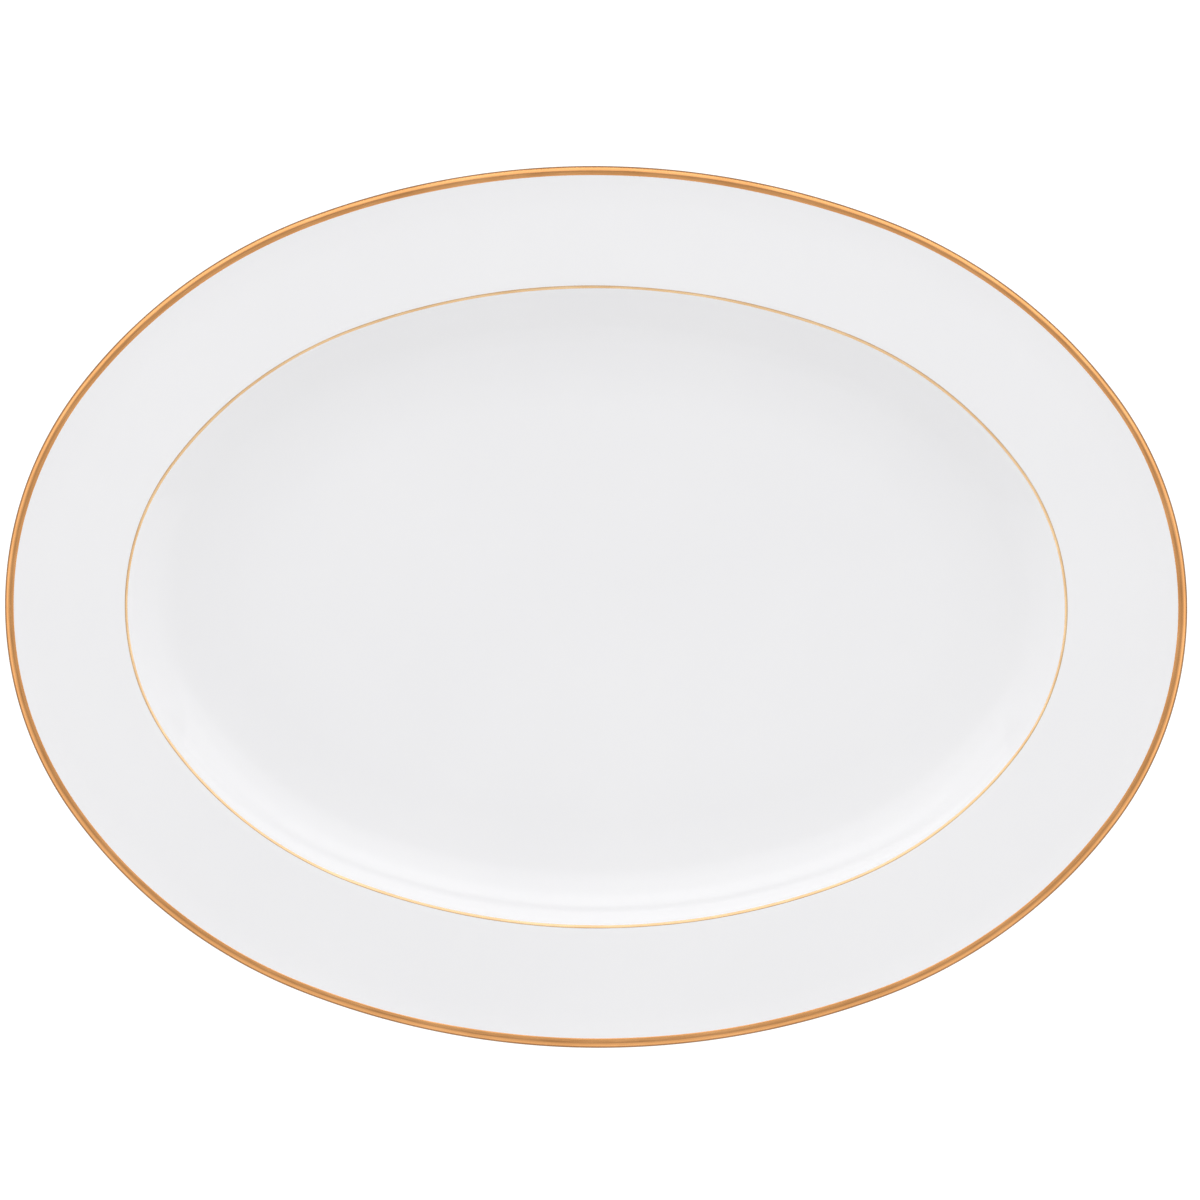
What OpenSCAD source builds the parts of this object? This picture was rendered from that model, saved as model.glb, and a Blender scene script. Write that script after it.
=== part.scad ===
// Oval china serving platter with a broad gold-edged rim, in millimetres.
// The platter stands on the plane z = 0, its centre on the Z axis and its length along X.
// The outline is an oval of eight tangent arcs. Every other line of the platter, such as
// the verge where the rim meets the well, runs parallel to it. So one section, drawn
// inward from the edge, is swept round the eight arcs and closed by a slab in the middle.

/* [Outline] */
// Overall length, over the gold on the lip
length = 356; // [340:1:370]
// Overall width, over the gold on the lip
width = 265.6; // [255:0.2:275]
// How much larger the side arcs' radius is than that of the arcs at the four corners
side_radius_step = 90; // [80:5:100]

/* [Rim] */
// Distance from the edge to the middle of the gold line at the verge, in plan
rim_w = 36.4; // [34:0.2:38]
// Rise of the rim towards its edge, in degrees
rim_slope = 0.5; // [0:0.5:3]
// Rise of the rim's top at the lip, where it turns up, in degrees
lip_slope = 10; // [8:0.5:12]
// Radius of that upturn
upturn_r = 60; // [50:5:70]
// Radius of the rounded lip, which is half the rim's thickness there
lip_r = 1.6; // [1.4:0.1:1.8]
// How much steeper the rim's underside rises than its top, in degrees
rim_taper = 1.5; // [1:0.5:2]

/* [Well] */
// Depth of the well's floor below the verge
well_depth = 12; // [11:0.5:13]
// Steepest slope of the well's wall, just below the verge, in degrees
wall_slope = 44; // [43:1:47]
// Slope at the top of the bend between the wall and the toe, in degrees
bend_slope = 35; // [33:1:36]
// Radius of the bend
bend_r = 20; // [18:1:22]
// Slope at the top of the toe, the wide curve in which the floor begins to rise, in degrees
toe_slope = 11; // [9:1:12]
// Radius of the toe
toe_r = 85; // [70:5:90]
// Radius of the rounded shoulder at the verge
shoulder_r = 2.6; // [2:0.2:3]
// Thickness of the floor and the wall
floor_t = 4.8; // [4.4:0.2:5.4]
// Radius of the hollow below the verge, where the underside meets the rim
under_verge_r = 8; // [6:1:10]

/* [Foot ring] */
// Height of the foot ring, which is the depth of the recess inside it
foot_h = 4; // [3.4:0.1:4.4]
// Distance from the platter's edge to the foot ring's standing face, in plan
foot_inset = 59; // [58.5:0.5:59.5]
// Width of the flat standing face
foot_land = 1.6; // [1.2:0.2:2.4]
// Radius of the standing face's two edges
foot_edge_r = 0.8; // [0.6:0.1:1]
// Radius where the foot ring's sides run out into the underside
foot_fillet_r = 1.4; // [1.2:0.1:1.6]
// Lean of the foot ring's sides, in degrees
foot_draft = 8; // [5:1:12]

/* [Glaze and gold] */
// Thickness of the glaze
glaze_t = 0.3; // [0.2:0.05:0.4]
// Height above the table where the glaze on the foot ring's sides ends
glaze_stop_z = 1.2; // [1.1:0.05:1.3]
// Thickness of the gold, drawn thicker than the fired film so that it is a solid
gold_t = 0.1; // [0.08:0.01:0.15]
// Width of the gold band on top of the rim, in plan
band_w = 2.9; // [2.2:0.1:3.5]
// How far round the lip the gold band runs, in degrees below the horizontal
band_wrap = 35; // [0:5:60]
// Width of the gold line, measured over the shoulder
line_w = 1; // [0.7:0.1:1.4]

/* [Hidden] */

porcelain = [0.90, 0.89, 0.86];
clear_glaze = [0.94, 0.94, 0.95];
gold = [0.80, 0.60, 0.38];

arc_step = 6;       // degrees of arc between two points of the section
sweep_fn = 360;     // facets of a full turn in previews
sweep_depth = 86;   // how far in from the edge the swept part of the section reaches
slab_inset = 70;    // how far in from the edge the middle slab's corners lie
wedge_reach = 400;  // well past the outline, for the wedges that bound the sweeps

// ---- The oval -------------------------------------------------------------------------
// Two neighbouring arcs join on a line through both centres. These lines run along the
// long sides of two right triangles with whole-number sides, 3-4-5 and 44-117-125.
end_join = [0.8, 0.6];
side_join = [0.352, 0.936];

half_length = length / 2 - gold_t;
half_width = width / 2 - gold_t;
side_step = side_radius_step;
side_share = side_join.x + side_join.y - 1;
end_share = end_join.x + end_join.y - 1;
corner_step = (half_length - half_width - side_share * side_step) / end_share;

end_r = half_length - end_join.x * corner_step - side_join.x * side_step;
corner_r = end_r + corner_step;
side_r = corner_r + side_step;
end_c = [half_length - end_r, 0];
corner_c = end_c - corner_step * end_join;
side_c = corner_c - side_step * side_join;

// ---- The section ----------------------------------------------------------------------
// x is 0 at the glazed edge and negative inward. A section line is a list of arcs, each
// [centre, radius, first angle, last angle], where an angle is the direction in which the
// surface faces. A hollow arc has a negative radius, and a corner has the radius 0.
// Straight stretches join one arc to the next.
function dir(angle) = [cos(angle), sin(angle)];
function facing(normal) = atan2(normal.y, normal.x);
function corner(point, angle) = [point, 0, angle, angle];

// Where a line along u from p meets the circle of radius r round c for the first time.
function meet(p, u, c, r) =
    let (w = p - c, along = w * u)
    p + u * (-along - sqrt(along * along - w * w + r * r));

rim_face = 90 + rim_slope;
lip_face = 90 + lip_slope;
wall_face = 90 + wall_slope;
bend_face = 90 + bend_slope;
toe_face = 90 + toe_slope;
under_face = -90 + rim_slope + rim_taper;
foot_out_face = -foot_draft;
foot_in_face = -180 + foot_draft;
line_face = (rim_face + wall_face) / 2;

floor_z = foot_h + floor_t;
toe_rise = toe_r * (1 - sin(toe_face));
bend_rise = bend_r * (sin(toe_face) - sin(bend_face));
shoulder_rise = shoulder_r * (sin(rim_face) - sin(wall_face));
wall_rise = well_depth - toe_rise - bend_rise - shoulder_rise;
wall_r = wall_rise / (sin(bend_face) - sin(wall_face));
shoulder_c = [-rim_w - shoulder_r * cos(line_face),
              floor_z + well_depth - shoulder_r * sin(rim_face)];
wall_c = shoulder_c + (wall_r + shoulder_r) * dir(wall_face);
bend_c = wall_c + (bend_r - wall_r) * dir(bend_face);
toe_c = bend_c + (toe_r - bend_r) * dir(toe_face);

verge = shoulder_c + shoulder_r * dir(rim_face);
upturn_x = -lip_r + (upturn_r + lip_r) * cos(lip_face);
upturn_start_x = upturn_x - upturn_r * cos(rim_face);
upturn_start_z = verge.y + (upturn_start_x - verge.x) * tan(rim_slope);
upturn_c = [upturn_x, upturn_start_z + upturn_r * sin(rim_face)];
lip_c = upturn_c - (upturn_r + lip_r) * dir(lip_face);

// Underside of the rim, the hollow below the verge, and the underside of the wall, which
// runs parallel to the wall's face.
upturn_under_r = upturn_r + 2 * lip_r;
wall_under_r = wall_r + floor_t;
bend_under_r = bend_r + floor_t;
toe_under_r = toe_r + floor_t;
under_start = upturn_c + upturn_under_r * dir(under_face);
under_verge_c = meet(under_start + under_verge_r * dir(under_face),
                     [sin(under_face), -cos(under_face)],
                     wall_c, wall_under_r + under_verge_r);
under_verge_face = facing(under_verge_c - wall_c);

// Foot ring.
foot_out_c = [-foot_inset - foot_edge_r, foot_edge_r];
foot_in_c = foot_out_c - [foot_land, 0];
foot_out_up = [-sin(foot_out_face), cos(foot_out_face)];
foot_in_up = [sin(foot_in_face), -cos(foot_in_face)];
fillet_out_c = meet(foot_out_c + (foot_edge_r + foot_fillet_r) * dir(foot_out_face),
                    foot_out_up, toe_c, toe_under_r + foot_fillet_r);
fillet_out_face = facing(fillet_out_c - toe_c);
fillet_in_start = foot_in_c + (foot_edge_r + foot_fillet_r) * dir(foot_in_face);
fillet_in_rise = (foot_h - foot_fillet_r - fillet_in_start.y) / foot_in_up.y;
fillet_in_c = fillet_in_start + fillet_in_rise * foot_in_up;

// Where the glaze stops on the foot ring's two sides.
function side_point(c, face, up) =
    let (p = c + foot_edge_r * dir(face))
    p + up * (glaze_stop_z - p.y) / up.y;
stop_out = corner(side_point(foot_out_c, foot_out_face, foot_out_up), foot_out_face);
stop_in = corner(side_point(foot_in_c, foot_in_face, foot_in_up), foot_in_face);

lip_line = [lip_c, lip_r, lip_face, lip_face - 180];
face_line = [
    corner([-sweep_depth, floor_z], 90),
    [toe_c, -toe_r, 90, toe_face],
    [bend_c, -bend_r, toe_face, bend_face],
    [wall_c, -wall_r, bend_face, wall_face],
    [shoulder_c, shoulder_r, wall_face, rim_face],
    [upturn_c, -upturn_r, rim_face, lip_face],
    lip_line,
    [upturn_c, upturn_under_r, lip_face - 180, under_face],
    [under_verge_c, -under_verge_r, under_face, under_verge_face],
    [wall_c, wall_under_r, under_verge_face, bend_face - 180],
    [bend_c, bend_under_r, bend_face - 180, toe_face - 180],
    [toe_c, toe_under_r, toe_face - 180, fillet_out_face],
    [fillet_out_c, -foot_fillet_r, fillet_out_face, foot_out_face],
    stop_out
];
foot_line = [
    stop_out,
    [foot_out_c, foot_edge_r, foot_out_face, -90],
    [foot_in_c, foot_edge_r, -90, foot_in_face],
    stop_in
];
recess_line = [
    stop_in,
    [fillet_in_c, -foot_fillet_r, foot_in_face, -90],
    corner([-sweep_depth, foot_h], -90)
];
band_start_face = acos((upturn_c.x + band_w) / upturn_r);
band_line = [
    [upturn_c, -upturn_r, band_start_face, lip_face],
    [lip_c, lip_r, lip_face, -band_wrap]
];
line_half_angle = line_w / shoulder_r / 2 * 180 / PI;
verge_line = [[shoulder_c, shoulder_r, line_face + line_half_angle, line_face - line_half_angle]];

// Points of a section line, moved out of its surface by d.
function arc_points(arc, d) =
    let (turn = arc[3] - arc[2], steps = max(1, ceil(abs(turn) / arc_step)))
    turn == 0 ? [arc[0] + d * dir(arc[2])]
              : [for (i = [0:steps]) arc[0] + (arc[1] + d) * dir(arc[2] + turn * i / steps)];
function line_points(line, d) = [for (arc = line) for (p = arc_points(arc, d)) p];
function reverse(list) = [for (i = [len(list) - 1:-1:0]) list[i]];

// A layer on a section line, from d0 to d1 out of its surface.
module layer_section(line, d0, d1) {
    polygon(concat(line_points(line, d0), reverse(line_points(line, d1))));
}

module body_section() {
    polygon(concat(line_points(face_line, -glaze_t),
                   line_points(foot_line, 0),
                   line_points(recess_line, -glaze_t)));
}

// ---- Sweeping the section round the oval -----------------------------------------------
// One arc of the oval: the section turned about the arc's centre, between the two lines
// from that centre along which it joins its neighbours.
module oval_arc(centre, radius, from, to) {
    intersection() {
        translate([centre.x, centre.y, 0])
            rotate_extrude($fn = sweep_fn)
                translate([radius, 0])
                    children();
        translate([0, 0, -1])
            linear_extrude(length)
                polygon([centre, centre + wedge_reach * from, centre + wedge_reach * to]);
    }
}

module sweep_oval() {
    for (side = [0, 1])
        mirror([side, 0, 0]) {
            oval_arc(end_c, end_r, [end_join.x, -end_join.y], end_join)
                children();
            for (half = [0, 1])
                mirror([0, half, 0])
                    oval_arc(corner_c, corner_r, end_join, side_join)
                        children();
        }
    for (half = [0, 1])
        mirror([0, half, 0])
            oval_arc(side_c, side_r, side_join, [-side_join.x, side_join.y])
                children();
}

// The flat middle, a slab whose corners lie on the lines where the arcs join.
module middle_slab(z0, z1) {
    a = end_c + (end_r - slab_inset) * end_join;
    b = corner_c + (corner_r - slab_inset) * side_join;
    translate([0, 0, z0])
        linear_extrude(z1 - z0)
            polygon([a, b, [-b.x, b.y], [-a.x, a.y], -a, -b, [b.x, -b.y], [a.x, -a.y]]);
}

// ---- The pieces --------------------------------------------------------------------------
// The fired clay body with its foot ring, bare only on the standing face.
module porcelain_body() {
    color(porcelain) {
        sweep_oval() body_section();
        middle_slab(foot_h + glaze_t, floor_z - glaze_t);
    }
}

// The glaze over the well, the rim, the lip and the underside as far as the foot ring.
module face_glaze() {
    color(clear_glaze) {
        sweep_oval() layer_section(face_line, -glaze_t, 0);
        middle_slab(floor_z - glaze_t, floor_z);
    }
}

// The glaze inside the foot ring.
module recess_glaze() {
    color(clear_glaze) {
        sweep_oval() layer_section(recess_line, -glaze_t, 0);
        middle_slab(foot_h, foot_h + glaze_t);
    }
}

// The gold round the edge, over the lip.
module rim_gold_band() {
    color(gold) sweep_oval() layer_section(band_line, 0, gold_t);
}

// The fine gold line where the rim meets the well.
module verge_gold_line() {
    color(gold) sweep_oval() layer_section(verge_line, 0, gold_t);
}

porcelain_body();
face_glaze();
recess_glaze();
rim_gold_band();
verge_gold_line();
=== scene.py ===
"""Visual model of an oval china serving platter: glazed white china with burnished gold lines.

The outline is an oval of eight tangent arcs, and every line of the platter runs parallel to it.
Each piece is one section, drawn inward from the edge, lofted round that oval as a closed mesh.
"""
import math

import bpy
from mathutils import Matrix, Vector


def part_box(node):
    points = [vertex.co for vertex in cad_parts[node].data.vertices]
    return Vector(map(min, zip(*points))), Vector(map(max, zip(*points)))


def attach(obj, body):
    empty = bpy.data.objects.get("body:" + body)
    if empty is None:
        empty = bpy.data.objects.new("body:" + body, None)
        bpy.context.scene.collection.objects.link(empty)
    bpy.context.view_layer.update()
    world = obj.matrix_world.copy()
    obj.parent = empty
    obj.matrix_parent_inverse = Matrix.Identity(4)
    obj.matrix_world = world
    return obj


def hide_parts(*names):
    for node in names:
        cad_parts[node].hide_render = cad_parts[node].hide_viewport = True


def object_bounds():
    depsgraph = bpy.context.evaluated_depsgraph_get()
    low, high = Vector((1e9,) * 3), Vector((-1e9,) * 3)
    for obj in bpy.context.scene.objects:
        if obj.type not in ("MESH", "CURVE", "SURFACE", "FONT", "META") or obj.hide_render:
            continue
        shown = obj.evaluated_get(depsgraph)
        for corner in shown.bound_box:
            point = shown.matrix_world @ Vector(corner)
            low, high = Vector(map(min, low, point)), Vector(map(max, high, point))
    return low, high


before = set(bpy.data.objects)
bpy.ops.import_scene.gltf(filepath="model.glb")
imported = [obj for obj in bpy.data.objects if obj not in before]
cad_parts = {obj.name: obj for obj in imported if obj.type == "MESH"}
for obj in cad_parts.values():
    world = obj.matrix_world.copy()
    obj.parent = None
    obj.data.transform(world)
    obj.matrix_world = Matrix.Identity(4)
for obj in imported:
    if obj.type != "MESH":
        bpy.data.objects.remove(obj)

MM = 0.001
BODY = "root"

# The CAD model's box, kept from before any piece is added.
CAD_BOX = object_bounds()

# ---- Section of the platter, in millimetres and degrees, as in the CAD model ---------------------
RIM_SLOPE = 0.5          # rise of the rim towards its edge
LIP_SLOPE = 10.0         # rise of the rim's top at the lip
UPTURN_R = 60.0          # radius in which the rim turns up towards the lip
LIP_R = 1.6              # radius of the rounded lip
RIM_TAPER = 1.5          # how much steeper the rim's underside rises than its top
RIM_W = 36.4             # edge to the middle of the gold line at the verge
WALL_SLOPE = 44.0        # steepest slope of the well's wall
BEND_SLOPE = 35.0        # slope at the top of the bend between the wall and the toe
BEND_R = 20.0            # radius of the bend
TOE_SLOPE = 11.0         # slope at the top of the toe, where the floor begins to rise
TOE_R = 85.0             # radius of the toe
WELL_DEPTH = 12.0        # floor below the verge
SHOULDER_R = 2.6         # rounded shoulder at the verge
FLOOR_T = 4.8            # thickness of floor and wall
UNDER_VERGE_R = 8.0      # hollow below the verge on the underside
FOOT_H = 4.0             # height of the foot ring
FOOT_INSET = 59.0        # edge to the foot ring's standing face
FOOT_LAND = 1.6          # flat standing face
FOOT_EDGE_R = 0.8        # rounded edges of the standing face
FOOT_FILLET_R = 1.4      # where the foot ring's sides run into the underside
FOOT_DRAFT = 8.0         # lean of the foot ring's sides
GLAZE_T = 0.3            # thickness of the glaze
GLAZE_STOP_Z = 1.2       # where the glaze ends on the foot ring's sides
GOLD_T = 0.1             # allowance for gold in the CAD model's outline
BAND_W = 2.9             # gold band on top of the rim
BAND_WRAP = 35.0         # how far the band runs round the lip, below the horizontal
LINE_W = 1.0             # gold line at the verge
DISC_INSET = 80.0        # where the swept part ends and the flat middle begins

# ---- Detail that the hand leaves, in millimetres -------------------------------------------------
FILM_T = 0.05            # gold film as drawn
FILM_SINK = 0.02         # how deep the film's edges lie in the glaze
FILM_EDGE = 8            # how late the film thins towards its edges: the power of its profile
BAND_WANDER = 0.22       # wander of the gold band's inner edge
WRAP_WANDER = 6.0        # wander of the gold band's outer edge round the lip, in degrees
LINE_WANDER = 0.10       # wander of the gold line's edges
STOP_WANDER = 0.22       # wander of the edge where the glaze was wiped off the foot
STOP_STEP = 0.3          # height over which the bare clay steps out from under the glaze
GLAZE_WAVE = 0.022       # unevenness of the glaze

# ---- Fineness of the meshes ----------------------------------------------------------------------
ARC_STEP = 12            # most degrees of arc between two points of a section
SAME_POINT = 0.001       # points of a section nearer than this are one
ARC_STATIONS = (34, 43, 43)  # stations along a quarter's end, corner and side arcs
BAND_STEPS = (8, 22)     # steps across the gold band: on the rim's upturn and round the lip
LINE_STEPS = 9           # steps across the gold line
SHARP_ANGLE = 50         # degrees from which an edge is drawn sharp

# ---- The oval ------------------------------------------------------------------------------------
SIDE_STEP = 90.0             # how much larger the side arcs' radius is than the corner arcs'
END_JOIN = (0.8, 0.6)        # direction in which the end arcs meet the corner arcs
SIDE_JOIN = (0.352, 0.936)   # direction in which the corner arcs meet the side arcs

half_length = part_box("rim_gold_band")[1].x / MM - GOLD_T
half_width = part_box("rim_gold_band")[1].y / MM - GOLD_T


def oval_arcs():
    """The first quarter's three arcs as (centre x, centre y, radius, first angle, last angle)."""
    side_share = sum(SIDE_JOIN) - 1
    corner_step = (half_length - half_width - side_share * SIDE_STEP) / (sum(END_JOIN) - 1)
    end_r = half_length - END_JOIN[0] * corner_step - SIDE_JOIN[0] * SIDE_STEP
    end_c = (half_length - end_r, 0.0)
    corner_c = (end_c[0] - corner_step * END_JOIN[0], -corner_step * END_JOIN[1])
    side_c = (0.0, corner_c[1] - SIDE_STEP * SIDE_JOIN[1])
    end_angle = math.atan2(END_JOIN[1], END_JOIN[0])
    side_angle = math.atan2(SIDE_JOIN[1], SIDE_JOIN[0])
    return [(*end_c, end_r, 0.0, end_angle),
            (*corner_c, end_r + corner_step, end_angle, side_angle),
            (*side_c, end_r + corner_step + SIDE_STEP, side_angle, math.pi / 2)]


def quarter_stations():
    """(centre x, centre y, radius, angle, distance along) from the +X end round to the +Y side."""
    stations, along = [], 0.0
    for (cx, cy, r, a0, a1), count in zip(oval_arcs(), ARC_STATIONS):
        for i in range(count):
            turn = (a1 - a0) * i / count
            stations.append((cx, cy, r, a0 + turn, along + r * turn))
        along += r * (a1 - a0)
    return stations, along


def full_oval():
    """Stations round the whole oval, and its length. Quarters run forward, back, forward, back.

    A station is (centre x, centre y, radius, direction x, direction y, distance along).
    """
    quarter, quarter_length = quarter_stations()
    side_x, side_y, side_r = oval_arcs()[2][:3]
    side_end = (side_x, side_y, side_r, math.pi / 2, quarter_length)
    stations = []
    for q in range(4):
        sx = 1 if q in (0, 3) else -1
        sy = 1 if q in (0, 1) else -1
        if q % 2 == 0:
            run = [(s, s[4]) for s in quarter]
        else:
            run = [(s, 2 * quarter_length - s[4]) for s in [side_end] + quarter[:0:-1]]
        base = quarter_length * (q - q % 2)
        for (cx, cy, r, angle, _), along in run:
            nx, ny = sx * math.cos(angle), sy * math.sin(angle)
            stations.append((sx * cx, sy * cy, r, nx, ny, base + along))
    return stations, 4 * quarter_length


STATIONS, OVAL_LENGTH = full_oval()


def wander(along, seed, waves):
    """A smooth hand's wander from -1 to 1 round the oval, which closes on itself.

    It adds one wave for each number of waves round the oval, each weaker than the last.
    """
    turn = 2 * math.pi * along / OVAL_LENGTH
    weights = [1 / (i + 1.5) for i in range(len(waves))]
    starts = [seed * (i + 1.7) * n for i, n in enumerate(waves)]
    total = sum(weight * math.sin(n * turn + start)
                for weight, start, n in zip(weights, starts, waves))
    return total / sum(weights)


# ---- Section lines -------------------------------------------------------------------------------
# A section line is a list of arcs (x, z, radius, first angle, last angle). x is 0 at the edge and
# negative inward, and an angle is the direction in which the surface faces. A hollow arc has a
# negative radius and a corner has the radius 0.
def facing(angle):
    return math.cos(math.radians(angle)), math.sin(math.radians(angle))


def moved(point, angle, distance):
    fx, fz = facing(angle)
    return point[0] + distance * fx, point[1] + distance * fz


def facing_of(point, centre):
    """The angle in which a circle round centre faces at a point."""
    return math.degrees(math.atan2(point[1] - centre[1], point[0] - centre[0]))


def meet(point, u, centre, radius):
    """Where a line along u from point first meets a circle."""
    wx, wz = point[0] - centre[0], point[1] - centre[1]
    along = wx * u[0] + wz * u[1]
    t = -along - math.sqrt(along * along - wx * wx - wz * wz + radius * radius)
    return point[0] + t * u[0], point[1] + t * u[1]


def corner(point, angle):
    return (*point, 0.0, angle, angle)


rim_face = 90 + RIM_SLOPE
lip_face = 90 + LIP_SLOPE
wall_face = 90 + WALL_SLOPE
bend_face = 90 + BEND_SLOPE
toe_face = 90 + TOE_SLOPE
under_face = -90 + RIM_SLOPE + RIM_TAPER
foot_out_face = -FOOT_DRAFT
foot_in_face = -180 + FOOT_DRAFT
line_face = (rim_face + wall_face) / 2

floor_z = FOOT_H + FLOOR_T
toe_rise = TOE_R * (1 - facing(toe_face)[1])
bend_rise = BEND_R * (facing(toe_face)[1] - facing(bend_face)[1])
shoulder_rise = SHOULDER_R * (facing(rim_face)[1] - facing(wall_face)[1])
wall_rise = WELL_DEPTH - toe_rise - bend_rise - shoulder_rise
wall_r = wall_rise / (facing(bend_face)[1] - facing(wall_face)[1])
shoulder_c = (-RIM_W - SHOULDER_R * facing(line_face)[0],
              floor_z + WELL_DEPTH - SHOULDER_R * facing(rim_face)[1])
wall_c = moved(shoulder_c, wall_face, wall_r + SHOULDER_R)
bend_c = moved(wall_c, bend_face, BEND_R - wall_r)
toe_c = moved(bend_c, toe_face, TOE_R - BEND_R)
verge = moved(shoulder_c, rim_face, SHOULDER_R)
upturn_x = -LIP_R + (UPTURN_R + LIP_R) * facing(lip_face)[0]
upturn_start_x = upturn_x - UPTURN_R * facing(rim_face)[0]
upturn_start_z = verge[1] + (upturn_start_x - verge[0]) * math.tan(math.radians(RIM_SLOPE))
upturn_c = (upturn_x, upturn_start_z + UPTURN_R * facing(rim_face)[1])
lip_c = moved(upturn_c, lip_face, -(UPTURN_R + LIP_R))

upturn_under_r = UPTURN_R + 2 * LIP_R
wall_under_r = wall_r + FLOOR_T
bend_under_r = BEND_R + FLOOR_T
toe_under_r = TOE_R + FLOOR_T
under_start = moved(upturn_c, under_face, upturn_under_r)
under_verge_c = meet(moved(under_start, under_face, UNDER_VERGE_R),
                     (facing(under_face)[1], -facing(under_face)[0]),
                     wall_c, wall_under_r + UNDER_VERGE_R)
under_verge_face = facing_of(under_verge_c, wall_c)

foot_out_c = (-FOOT_INSET - FOOT_EDGE_R, FOOT_EDGE_R)
foot_in_c = (foot_out_c[0] - FOOT_LAND, FOOT_EDGE_R)
foot_out_up = (-facing(foot_out_face)[1], facing(foot_out_face)[0])
foot_in_up = (facing(foot_in_face)[1], -facing(foot_in_face)[0])
fillet_out_c = meet(moved(foot_out_c, foot_out_face, FOOT_EDGE_R + FOOT_FILLET_R), foot_out_up,
                    toe_c, toe_under_r + FOOT_FILLET_R)
fillet_out_face = facing_of(fillet_out_c, toe_c)
fillet_in_start = moved(foot_in_c, foot_in_face, FOOT_EDGE_R + FOOT_FILLET_R)
fillet_in_rise = (FOOT_H - FOOT_FILLET_R - fillet_in_start[1]) / foot_in_up[1]
fillet_in_c = (fillet_in_start[0] + fillet_in_rise * foot_in_up[0], FOOT_H - FOOT_FILLET_R)


def side_point(centre, face, up, z):
    """The point at height z on a side of the foot ring."""
    x, z0 = moved(centre, face, FOOT_EDGE_R)
    return x + (z - z0) * up[0] / up[1], z


def stop_out(z):
    return corner(side_point(foot_out_c, foot_out_face, foot_out_up, z), foot_out_face)


def stop_in(z):
    return corner(side_point(foot_in_c, foot_in_face, foot_in_up, z), foot_in_face)


def face_line(stop_z):
    return [
        corner((-DISC_INSET, floor_z), 90),
        (*toe_c, -TOE_R, 90, toe_face),
        (*bend_c, -BEND_R, toe_face, bend_face),
        (*wall_c, -wall_r, bend_face, wall_face),
        (*shoulder_c, SHOULDER_R, wall_face, rim_face),
        (*upturn_c, -UPTURN_R, rim_face, lip_face),
        (*lip_c, LIP_R, lip_face, lip_face - 180),
        (*upturn_c, upturn_under_r, lip_face - 180, under_face),
        (*under_verge_c, -UNDER_VERGE_R, under_face, under_verge_face),
        (*wall_c, wall_under_r, under_verge_face, bend_face - 180),
        (*bend_c, bend_under_r, bend_face - 180, toe_face - 180),
        (*toe_c, toe_under_r, toe_face - 180, fillet_out_face),
        (*fillet_out_c, -FOOT_FILLET_R, fillet_out_face, foot_out_face),
        stop_out(stop_z),
    ]


def foot_line():
    return [
        stop_out(GLAZE_STOP_Z),
        (*foot_out_c, FOOT_EDGE_R, foot_out_face, -90),
        (*foot_in_c, FOOT_EDGE_R, -90, foot_in_face),
        stop_in(GLAZE_STOP_Z),
    ]


def recess_line(stop_z):
    return [
        stop_in(stop_z),
        (*fillet_in_c, -FOOT_FILLET_R, foot_in_face, -90),
        corner((-DISC_INSET, FOOT_H), -90),
    ]


def between(p, q, share):
    return p[0] + (q[0] - p[0]) * share, p[1] + (q[1] - p[1]) * share


def line_points(line, offset, step, longest=None):
    """Points of a section line moved out of its surface by offset, one every step mm of arc or so.

    A straight stretch longer than longest is divided too. The point where two arcs meet is given
    once, so that the surface is smooth across it.
    """
    points = []
    for x, z, r, a0, a1 in line:
        reach = abs(r) * math.radians(abs(a1 - a0))
        count = max(2 if r else 0, math.ceil(reach / step), math.ceil(abs(a1 - a0) / ARC_STEP))
        for i in range(count + 1):
            angle = a0 + (a1 - a0) * i / max(count, 1)
            p = moved((x, z), angle, r + offset)
            if points:
                q = points[-1]
                gap = math.dist(q, p)
                if gap < SAME_POINT:
                    continue
                parts = math.ceil(gap / longest) if longest else 1
                points += [between(q, p, k / parts) for k in range(1, parts)]
            points.append(p)
    return points


# ---- Lofting -------------------------------------------------------------------------------------
def glaze_wave(x, y):
    """Height of the glaze's unevenness over a point of the platter, in millimetres.

    Three swells, each shorter and lower than the last, run across one another.
    """
    long_swell = math.sin(x / 31 + 1.3) * math.sin(y / 23 + 0.4)
    middle_swell = 0.6 * math.sin((x + y) / 13.1 + 2.1) * math.sin((x - 1.3 * y) / 17.3)
    short_swell = 0.35 * math.sin((1.7 * x - y) / 9.7 + 0.8)
    most = 1 + 0.6 + 0.35
    return GLAZE_WAVE * (long_swell + middle_swell + short_swell) / most


def add_mesh(name, points, faces, along, across):
    """A smooth mesh object from points in millimetres, with where each lies along and across."""
    mesh = bpy.data.meshes.new(name)
    mesh.from_pydata([(x * MM, y * MM, z * MM) for x, y, z in points], [], faces)
    for label, values in (("along", along), ("across", across)):
        layer = mesh.attributes.new(label, "FLOAT", "POINT")
        layer.data.foreach_set("value", values)
    mesh.shade_smooth()
    mesh.set_sharp_from_angle(angle=math.radians(SHARP_ANGLE))
    obj = bpy.data.objects.new(name, mesh)
    bpy.context.scene.collection.objects.link(obj)
    return obj


def swept(section_at, wave):
    """Points of the section at every station, with where each lies along and across."""
    points, along, across = [], [], []
    for cx, cy, r, nx, ny, s in STATIONS:
        section = section_at(s)
        travelled = 0.0
        for k, (x, z) in enumerate(section):
            px, py = cx + (r + x) * nx, cy + (r + x) * ny
            travelled += math.dist(section[k - 1], section[k]) if k else 0.0
            points.append((px, py, z + wave * glaze_wave(px, py)))
            along.append(s)
            across.append(travelled)
    return points, along, across


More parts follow.
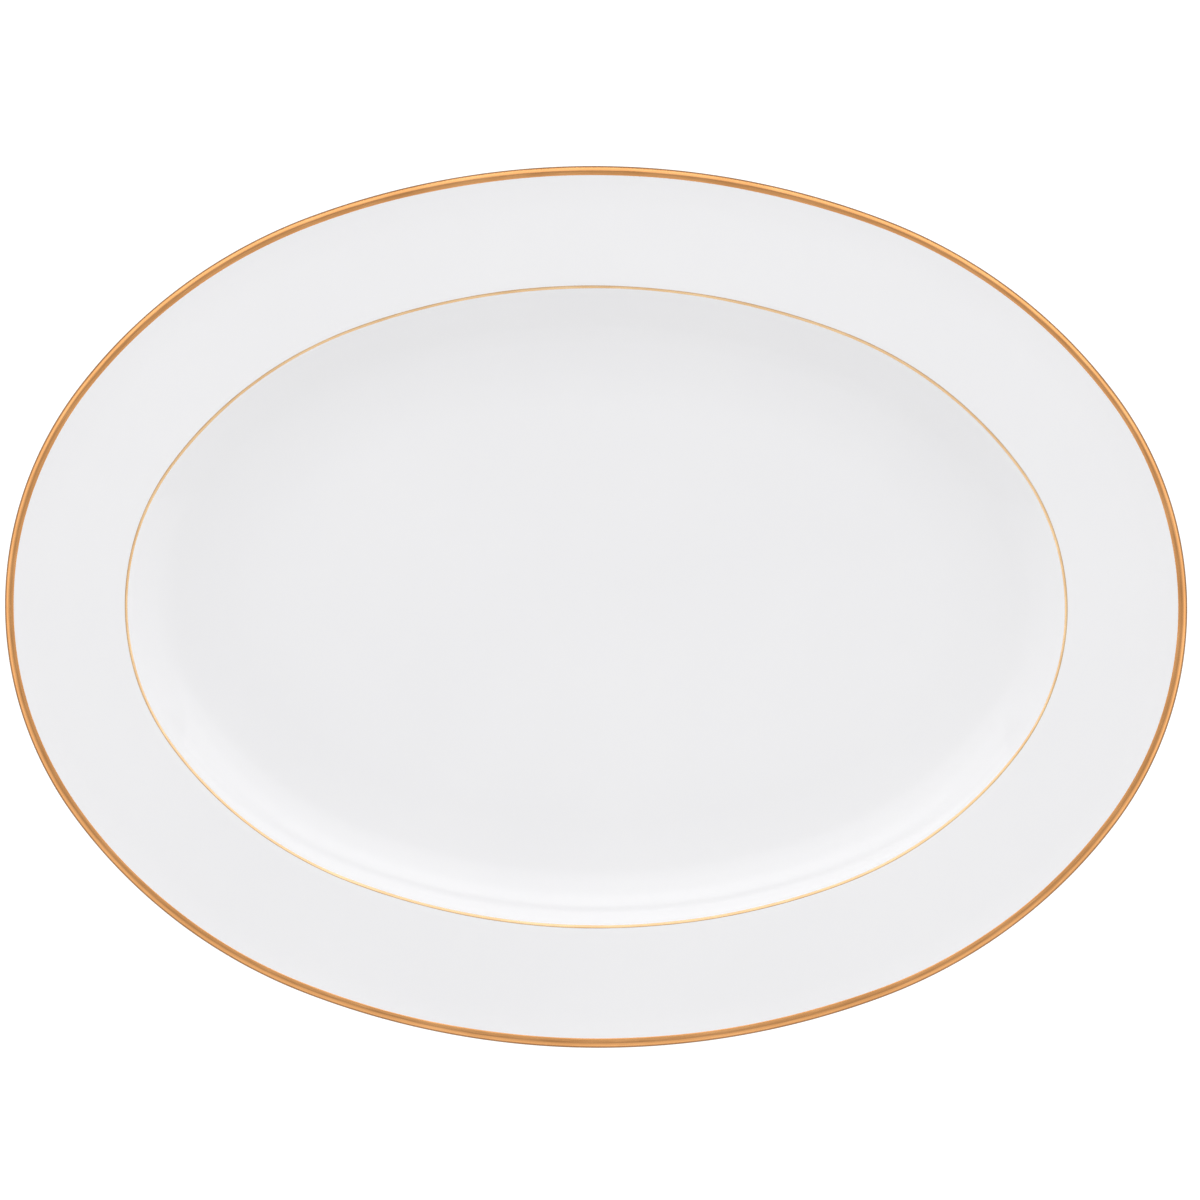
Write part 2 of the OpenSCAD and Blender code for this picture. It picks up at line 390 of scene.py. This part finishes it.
def loft_ring(name, section_at, wave=0.0):
    """A closed ring: section_at(along) gives a closed section, with the same count everywhere."""
    points, along, across = swept(section_at, wave)
    count = len(STATIONS)
    n = len(points) // count
    faces = []
    for i in range(count):
        j = (i + 1) % count
        for k in range(n):
            m = (k + 1) % n
            faces.append((i * n + k, i * n + m, j * n + m, j * n + k))
    return add_mesh(name, points, faces, along, across)


def loft_solid(name, section_at, disc_rings, wave=0.0):
    """A closed solid: section_at(along) runs from the flat middle outward and back to the middle.

    The first and last points of the section lie on the rims of two flat discs, which close it.
    """
    points, along, across = swept(section_at, wave)
    count = len(STATIONS)
    n = len(points) // count
    faces = []
    for i in range(count):
        j = (i + 1) % count
        for k in range(n - 1):
            faces.append((i * n + k, i * n + k + 1, j * n + k + 1, j * n + k))

    for edge, flip in ((0, False), (n - 1, True)):
        ring = [i * n + edge for i in range(count)]
        base = [points[i] for i in ring]
        depth = across[ring[0]]
        for step in range(1, disc_rings):
            share = 1 - step / disc_rings
            start = len(points)
            for i, (x, y, z) in enumerate(base):
                flat = z - wave * glaze_wave(x, y)
                qx, qy = x * share, y * share
                points.append((qx, qy, flat + wave * glaze_wave(qx, qy)))
                along.append(along[ring[i]])
                across.append(depth)
            inner = list(range(start, start + count))
            for i in range(count):
                j = (i + 1) % count
                quad = (ring[i], ring[j], inner[j], inner[i])
                faces.append(quad[::-1] if flip else quad)
            ring = inner
        centre = len(points)
        points.append((0.0, 0.0, base[0][2]))
        along.append(0.0)
        across.append(depth)
        for i in range(count):
            j = (i + 1) % count
            tri = (ring[i], ring[j], centre)
            faces.append(tri[::-1] if flip else tri)
    return add_mesh(name, points, faces, along, across)


# ---- Pieces --------------------------------------------------------------------------------------
def face_glaze():
    """The coat over the well, the rim, the lip and the underside as far as the foot ring."""
    def section(s):
        stop = GLAZE_STOP_Z + STOP_WANDER * wander(s, seed=2.3, waves=(3, 7, 16, 29, 47))
        outer = line_points(face_line(stop), offset=0.0, step=1.0, longest=3.0)
        inner = line_points(face_line(stop), offset=-GLAZE_T, step=6.0)
        return outer + inner[::-1]
    return loft_solid("face_glaze_coat", section, disc_rings=9, wave=1.0)


def recess_glaze():
    """The coat inside the foot ring."""
    def section(s):
        stop = GLAZE_STOP_Z + STOP_WANDER * wander(s, seed=5.1, waves=(4, 9, 15, 31, 52))
        outer = line_points(recess_line(stop), offset=0.0, step=0.35, longest=3.0)
        inner = line_points(recess_line(stop), offset=-GLAZE_T, step=1.0)
        return inner[::-1] + outer
    return loft_solid("recess_glaze_coat", section, disc_rings=12)


def body():
    """The fired clay below the glaze, bare on the foot ring's standing face."""
    glazed_to = GLAZE_STOP_Z + STOP_STEP
    section = (line_points(face_line(glazed_to), offset=-GLAZE_T, step=3.0)
               + line_points(foot_line(), offset=0.0, step=0.2)
               + line_points(recess_line(glazed_to), offset=-GLAZE_T, step=1.0))
    return loft_solid("fired_clay_body", lambda s: section, disc_rings=3)


def film_over(path):
    """A closed section of film over a path of (centre, radius, facing) points.

    It is full in the middle and thins to both edges. They lie in the glaze, and so does its
    hidden side, twice as deep.
    """
    n = len(path)
    top = []
    for k, (centre, r, angle) in enumerate(path):
        across = 2 * k / (n - 1) - 1
        height = (FILM_T + FILM_SINK) * (1 - across ** FILM_EDGE) - FILM_SINK
        top.append(moved(centre, angle, r + height))
    under = [moved(centre, angle, r - 2 * FILM_SINK) for centre, r, angle in path]
    return top + under[::-1]


def rim_band():
    """The gold round the edge, over the lip."""
    on_rim, on_lip = BAND_STEPS

    def section(s):
        width = BAND_W + BAND_WANDER * wander(s, seed=1.1, waves=(2, 5, 11, 19))
        wrap = BAND_WRAP + WRAP_WANDER * wander(s, seed=3.7, waves=(3, 8, 17))
        start = math.degrees(math.acos((upturn_c[0] + width) / UPTURN_R))
        path = [(upturn_c, -UPTURN_R, start + (lip_face - start) * i / on_rim)
                for i in range(on_rim)]
        path += [(lip_c, LIP_R, lip_face + (-wrap - lip_face) * i / on_lip)
                 for i in range(on_lip + 1)]
        return film_over(path)
    return loft_ring("rim_gold_band_film", section, wave=1.0)


def verge_line():
    """The fine gold line where the rim meets the well."""
    half = math.degrees(LINE_W / SHOULDER_R / 2)
    stray = math.degrees(LINE_WANDER / SHOULDER_R)

    def section(s):
        a = line_face + half + stray * wander(s, seed=6.1, waves=(3, 8, 13, 27))
        b = line_face - half + stray * wander(s, seed=7.9, waves=(2, 7, 15, 24))
        path = [(shoulder_c, SHOULDER_R, a + (b - a) * i / LINE_STEPS)
                for i in range(LINE_STEPS + 1)]
        return film_over(path)
    return loft_ring("verge_gold_line_film", section, wave=1.0)


# ---- Materials -----------------------------------------------------------------------------------
# Tints run from dark to light, and a roughness lies between its two values.
CHINA_TINTS = ((0.822, 0.818, 0.830), (0.837, 0.833, 0.843))
CHINA_ROUGHNESS = (0.035, 0.075)
SPECK_TINT = (0.30, 0.28, 0.27)
SPECK_CELLS = 48.0           # cells per metre, each with room for one iron speck
SPECK_RIM = (0.008, 0.016)   # where a speck starts to fade and where it ends, in cells
SPECK_CHANCE = (0.985, 0.99)  # draw from 0 to 1 at which a cell's speck starts to show and is full
SPECK_STRENGTH = 0.55        # how much of the china a full speck covers
CLAY_TINTS = ((0.58, 0.54, 0.47), (0.68, 0.65, 0.59), (0.73, 0.71, 0.66))
CLAY_ROUGHNESS = (0.62, 0.88)
BAND_GOLD = ((0.72, 0.345, 0.128), (0.81, 0.398, 0.153), (0.88, 0.45, 0.185))
# The thin line lets the white china through and is paler.
LINE_GOLD = ((0.75, 0.49, 0.265), (0.82, 0.56, 0.32), (0.89, 0.635, 0.38))
GOLD_ROUGHNESS = (0.16, 0.30)
STROKE_SHAPE = 0.035         # width of a brush stroke in the gold over its length
FLOOR_TINTS = ((0.42, 0.42, 0.42), (0.44, 0.44, 0.44))
FLOOR_GLOW = 0.80            # the floor's own light


def new_material(name):
    material = bpy.data.materials.new(name)
    material.use_nodes = True
    nodes = material.node_tree.nodes
    return material, nodes, material.node_tree.links, nodes["Principled BSDF"]


def noise(nodes, links, coordinates, scale, detail=3.0, roughness=0.5):
    """Noise whose scale is in swells per metre, or per unit of the coordinates given."""
    node = nodes.new("ShaderNodeTexNoise")
    node.inputs["Scale"].default_value = scale
    node.inputs["Detail"].default_value = detail
    node.inputs["Roughness"].default_value = roughness
    links.new(coordinates, node.inputs["Vector"])
    return node.outputs["Fac"]


def ramp(nodes, links, value, stops):
    """A colour that runs through stops of (position, colour)."""
    node = nodes.new("ShaderNodeValToRGB")
    while len(node.color_ramp.elements) < len(stops):
        node.color_ramp.elements.new(0.5)
    for element, (position, colour) in zip(node.color_ramp.elements, stops):
        element.position = position
        element.color = (*colour, 1.0)
    links.new(value, node.inputs["Fac"])
    return node.outputs["Color"]


def span(nodes, links, value, low, high, to_low, to_high):
    """A value between low and high, brought to the span from to_low to to_high."""
    node = nodes.new("ShaderNodeMapRange")
    node.inputs["From Min"].default_value = low
    node.inputs["From Max"].default_value = high
    node.inputs["To Min"].default_value = to_low
    node.inputs["To Max"].default_value = to_high
    links.new(value, node.inputs["Value"])
    return node.outputs["Result"]


def combined(nodes, links, operation, first, second):
    node = nodes.new("ShaderNodeMath")
    node.operation = operation
    links.new(first, node.inputs[0])
    links.new(second, node.inputs[1])
    return node.outputs["Value"]


def times(nodes, links, first, second):
    return combined(nodes, links, "MULTIPLY", first, second)


def plus(nodes, links, first, second):
    return combined(nodes, links, "ADD", first, second)


def bump(nodes, links, height, strength, distance):
    node = nodes.new("ShaderNodeBump")
    node.inputs["Strength"].default_value = strength
    node.inputs["Distance"].default_value = distance
    links.new(height, node.inputs["Height"])
    return node.outputs["Normal"]


def glaze_material():
    """Cool white china under a clear gloss, with a few tiny iron specks."""
    material, nodes, links, shader = new_material("clear_glazed_china")
    position = nodes.new("ShaderNodeTexCoord").outputs["Object"]
    cloud = noise(nodes, links, position, scale=14.0, detail=4.0)
    dark, light = CHINA_TINTS
    tint = ramp(nodes, links, cloud, [(0.3, dark), (0.7, light)])

    cells = nodes.new("ShaderNodeTexVoronoi")
    cells.inputs["Scale"].default_value = SPECK_CELLS
    links.new(position, cells.inputs["Vector"])
    near_middle = span(nodes, links, cells.outputs["Distance"], *SPECK_RIM, 1.0, 0.0)
    chance = nodes.new("ShaderNodeSeparateColor")
    links.new(cells.outputs["Color"], chance.inputs["Color"])
    rare = span(nodes, links, chance.outputs["Red"], *SPECK_CHANCE, 0.0, SPECK_STRENGTH)
    speckled = nodes.new("ShaderNodeMix")
    speckled.data_type = "RGBA"
    links.new(times(nodes, links, near_middle, rare), speckled.inputs["Factor"])
    links.new(tint, speckled.inputs["A"])
    speckled.inputs["B"].default_value = (*SPECK_TINT, 1.0)
    links.new(speckled.outputs["Result"], shader.inputs["Base Color"])

    gloss = noise(nodes, links, position, scale=60.0)
    links.new(span(nodes, links, gloss, 0.3, 0.7, *CHINA_ROUGHNESS), shader.inputs["Roughness"])
    ripple = noise(nodes, links, position, scale=220.0, detail=2.0)
    links.new(bump(nodes, links, ripple, strength=0.05, distance=0.0002), shader.inputs["Normal"])
    shader.inputs["IOR"].default_value = 1.52
    shader.inputs["Subsurface Weight"].default_value = 0.08
    shader.inputs["Subsurface Radius"].default_value = (0.0022, 0.0020, 0.0018)
    shader.inputs["Subsurface Scale"].default_value = 1.0
    return material


def clay_material():
    """Bare fired clay, warmer than the glaze, fine grained and a little stained."""
    material, nodes, links, shader = new_material("bare_fired_porcelain")
    position = nodes.new("ShaderNodeTexCoord").outputs["Object"]
    grain = noise(nodes, links, position, scale=900.0, detail=5.0, roughness=0.65)
    stain = noise(nodes, links, position, scale=60.0)
    shade = span(nodes, links, plus(nodes, links, grain, stain), 0.6, 1.4, 0.0, 1.0)
    dark, middle, light = CLAY_TINTS
    tint = ramp(nodes, links, shade, [(0.15, dark), (0.45, middle), (0.85, light)])
    links.new(tint, shader.inputs["Base Color"])
    links.new(span(nodes, links, grain, 0.2, 0.8, *CLAY_ROUGHNESS), shader.inputs["Roughness"])
    links.new(bump(nodes, links, grain, strength=0.5, distance=0.00015), shader.inputs["Normal"])
    shader.inputs["IOR"].default_value = 1.48
    return material


def gold_material(name, tints):
    """Burnished gold of three tints, with brush strokes that run along the edge."""
    material, nodes, links, shader = new_material(name)
    along = nodes.new("ShaderNodeAttribute")
    along.attribute_name = "along"
    across = nodes.new("ShaderNodeAttribute")
    across.attribute_name = "across"
    stretched = nodes.new("ShaderNodeMath")
    stretched.operation = "MULTIPLY"
    stretched.inputs[1].default_value = STROKE_SHAPE
    links.new(along.outputs["Fac"], stretched.inputs[0])
    strokes = nodes.new("ShaderNodeCombineXYZ")
    links.new(stretched.outputs["Value"], strokes.inputs["X"])
    links.new(across.outputs["Fac"], strokes.inputs["Y"])
    brush = noise(nodes, links, strokes.outputs["Vector"], scale=3.2, detail=4.0, roughness=0.6)

    position = nodes.new("ShaderNodeTexCoord").outputs["Object"]
    cloud = noise(nodes, links, position, scale=45.0)
    shade = span(nodes, links, plus(nodes, links, brush, cloud), 0.7, 1.3, 0.0, 1.0)
    dark, middle, light = tints
    tint = ramp(nodes, links, shade, [(0.1, dark), (0.5, middle), (0.9, light)])
    links.new(tint, shader.inputs["Base Color"])
    shader.inputs["Metallic"].default_value = 1.0
    links.new(span(nodes, links, brush, 0.25, 0.75, *GOLD_ROUGHNESS), shader.inputs["Roughness"])
    links.new(bump(nodes, links, brush, strength=0.25, distance=0.00004), shader.inputs["Normal"])
    return material


def floor_material():
    """A pale matt floor with some light of its own, so that it stays white round the platter."""
    material, nodes, links, shader = new_material("pale_studio_floor")
    position = nodes.new("ShaderNodeTexCoord").outputs["Object"]
    cloud = noise(nodes, links, position, scale=3.0)
    dark, light = FLOOR_TINTS
    tint = ramp(nodes, links, cloud, [(0.3, dark), (0.7, light)])
    links.new(tint, shader.inputs["Base Color"])
    shader.inputs["Roughness"].default_value = 0.9
    shader.inputs["Specular IOR Level"].default_value = 0.0
    shader.inputs["Emission Color"].default_value = (1.0, 1.0, 1.0, 1.0)
    shader.inputs["Emission Strength"].default_value = FLOOR_GLOW
    return material


# ---- Studio --------------------------------------------------------------------------------------
FLOOR_HALF = 30.0         # half of the floor's side, in metres
# Light of the sky by the height of the direction, from -1 straight down to 1 straight up. What
# lies below the horizon lights the platter and shows in its gloss in the place of the floor.
SKY = [(-1.000, 0.40), (-0.006, 0.50), (0.000, 1.07), (0.450, 1.05), (0.880, 0.90), (0.940, 0.74),
       (0.975, 0.58), (1.000, 0.52)]
SOFTBOX_DISTANCE = 2.6    # metres from the platter to every softbox
BACK = 90.0               # bearing of the bank of softboxes behind the platter
BANK_WIDTH = 6.0          # metres
# The softboxes behind the platter, low to high: (lower edge, upper edge, light), in degrees of
# elevation. The dim gap between the lowest two shows as a thin line in the glaze of the wall.
BANK = [(-0.5, 13.8, 0.66), (17.4, 26.0, 0.78), (26.0, 42.0, 0.48), (42.0, 68.0, 0.42)]
GAP_LIGHT = 0.45          # share of the sky's light that is left in that gap
GAP_EDGE = 0.012          # softness of the gap's edges, in height of the direction
GAP_SIDES = (0.45, 0.60)  # how far towards the back a direction points where the gap begins
SIDE_WIDTH = 3.0          # metres
# The softboxes at the platter's right and left ends: (bearing, lower edge, upper edge, light).
SIDES = [(0.0, 8.0, 44.0, 0.27), (180.0, 8.0, 44.0, 0.21)]


def floor():
    """The floor, which neither lights the platter nor shows in its gloss.

    Its own light keeps it white, but would wash out the underside. The sky below the horizon
    stands in for it there.
    """
    mesh = bpy.data.meshes.new("floor")
    h = FLOOR_HALF
    mesh.from_pydata([(-h, -h, 0), (h, -h, 0), (h, h, 0), (-h, h, 0)], [], [(0, 1, 2, 3)])
    obj = bpy.data.objects.new("floor", mesh)
    bpy.context.scene.collection.objects.link(obj)
    mesh.materials.append(floor_material())
    obj.visible_glossy = False
    obj.visible_diffuse = False


def softbox(name, bearing, width, low, high, level):
    """A soft panel that faces the platter. Its level is its brightness, and 1 is white.

    The bearing is in degrees from the platter's right end towards its back.
    """
    height = 2 * SOFTBOX_DISTANCE * math.tan(math.radians((high - low) / 2))
    light = bpy.data.lights.new(name, "AREA")
    light.shape = "RECTANGLE"
    light.size, light.size_y = width, height
    light.energy = math.pi * width * height * level
    obj = bpy.data.objects.new(name, light)
    turn, rise = math.radians(bearing), math.radians((low + high) / 2)
    ahead = Vector((math.cos(turn), math.sin(turn), math.tan(rise))).normalized()
    obj.location = ahead * SOFTBOX_DISTANCE
    obj.rotation_mode = "QUATERNION"
    obj.rotation_quaternion = (-obj.location).to_track_quat("-Z", "Y")
    obj.visible_camera = False
    bpy.context.scene.collection.objects.link(obj)


def sky():
    """A white sky, dimmer overhead where the camera hangs, and darker below the horizon.

    Behind the platter it is also dimmer in the gap between the two lowest softboxes.
    """
    world = bpy.data.worlds.new("studio")
    bpy.context.scene.world = world
    world.use_nodes = True
    nodes, links = world.node_tree.nodes, world.node_tree.links
    direction = nodes.new("ShaderNodeSeparateXYZ")
    links.new(nodes.new("ShaderNodeTexCoord").outputs["Generated"], direction.inputs["Vector"])
    height = direction.outputs["Z"]
    brightest = max(level for _, level in SKY)
    share = span(nodes, links, height, -1.0, 1.0, 0.0, 1.0)
    shade = ramp(nodes, links, share, [((z + 1) / 2, (level / brightest,) * 3) for z, level in SKY])

    low, high = (math.sin(math.radians(angle)) for angle in (BANK[0][1], BANK[1][0]))
    above = span(nodes, links, height, low - GAP_EDGE, low + GAP_EDGE, 0.0, 1.0)
    below = span(nodes, links, height, high - GAP_EDGE, high + GAP_EDGE, 1.0, 0.0)
    behind = span(nodes, links, direction.outputs["Y"], *GAP_SIDES, 0.0, 1.0)
    in_gap = times(nodes, links, times(nodes, links, above, below), behind)
    kept = span(nodes, links, in_gap, 0.0, 1.0, brightest, brightest * GAP_LIGHT)
    background = nodes["Background"]
    links.new(shade, background.inputs["Color"])
    links.new(kept, background.inputs["Strength"])


def studio():
    """The sky, the softboxes and a plain rendering of their tones."""
    sky()
    for i, panel in enumerate(BANK):
        softbox(f"softbox_{i + 1}", BACK, BANK_WIDTH, *panel)
    for i, (bearing, *panel) in enumerate(SIDES):
        softbox(f"side_softbox_{i + 1}", bearing, SIDE_WIDTH, *panel)
    view = bpy.context.scene.view_settings
    view.view_transform = "Standard"
    view.look = "None"


# ---- Camera --------------------------------------------------------------------------------------
CAMERA_HEIGHT = 1.8       # metres above the table
SENSOR = 36.0             # millimetres
PLATTER_SHARE = 0.9855    # of the frame's width
CAMERA_ROLL = 0.46        # degrees, so that the platter's right end lies slightly lower
CENTRE_RIGHT = 0.0066     # how far right of the platter's middle the camera looks, in half-lengths
CENTRE_UP = 0.0117        # how far towards the platter's back it looks, in half-lengths


def camera():
    """Straight above the platter, as in the photograph, and turned a little."""
    data = bpy.data.cameras.new("camera")
    data.sensor_width = SENSOR
    low, high = CAD_BOX
    view_width = (high.x - low.x) / PLATTER_SHARE
    data.lens = SENSOR * (CAMERA_HEIGHT - lip_c[1] * MM) / view_width
    obj = bpy.data.objects.new("camera", data)
    roll = math.radians(CAMERA_ROLL)
    right, up = CENTRE_RIGHT * high.x, CENTRE_UP * high.x
    obj.location = (right * math.cos(roll) - up * math.sin(roll),
                    right * math.sin(roll) + up * math.cos(roll), CAMERA_HEIGHT)
    obj.rotation_euler = (0.0, 0.0, roll)
    bpy.context.scene.collection.objects.link(obj)
    bpy.context.scene.camera = obj


# ---- Assembly ------------------------------------------------------------------------------------
def add_piece(piece, node, material):
    piece.data.materials.append(material)
    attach(piece, BODY)
    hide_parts(node)


glaze = glaze_material()
add_piece(body(), "porcelain_body", clay_material())
add_piece(face_glaze(), "face_glaze", glaze)
add_piece(recess_glaze(), "recess_glaze", glaze)
band_gold = gold_material("burnished_gold", BAND_GOLD)
line_gold = gold_material("thin_pale_gold", LINE_GOLD)
add_piece(rim_band(), "rim_gold_band", band_gold)
add_piece(verge_line(), "verge_gold_line", line_gold)
floor()
studio()
camera()
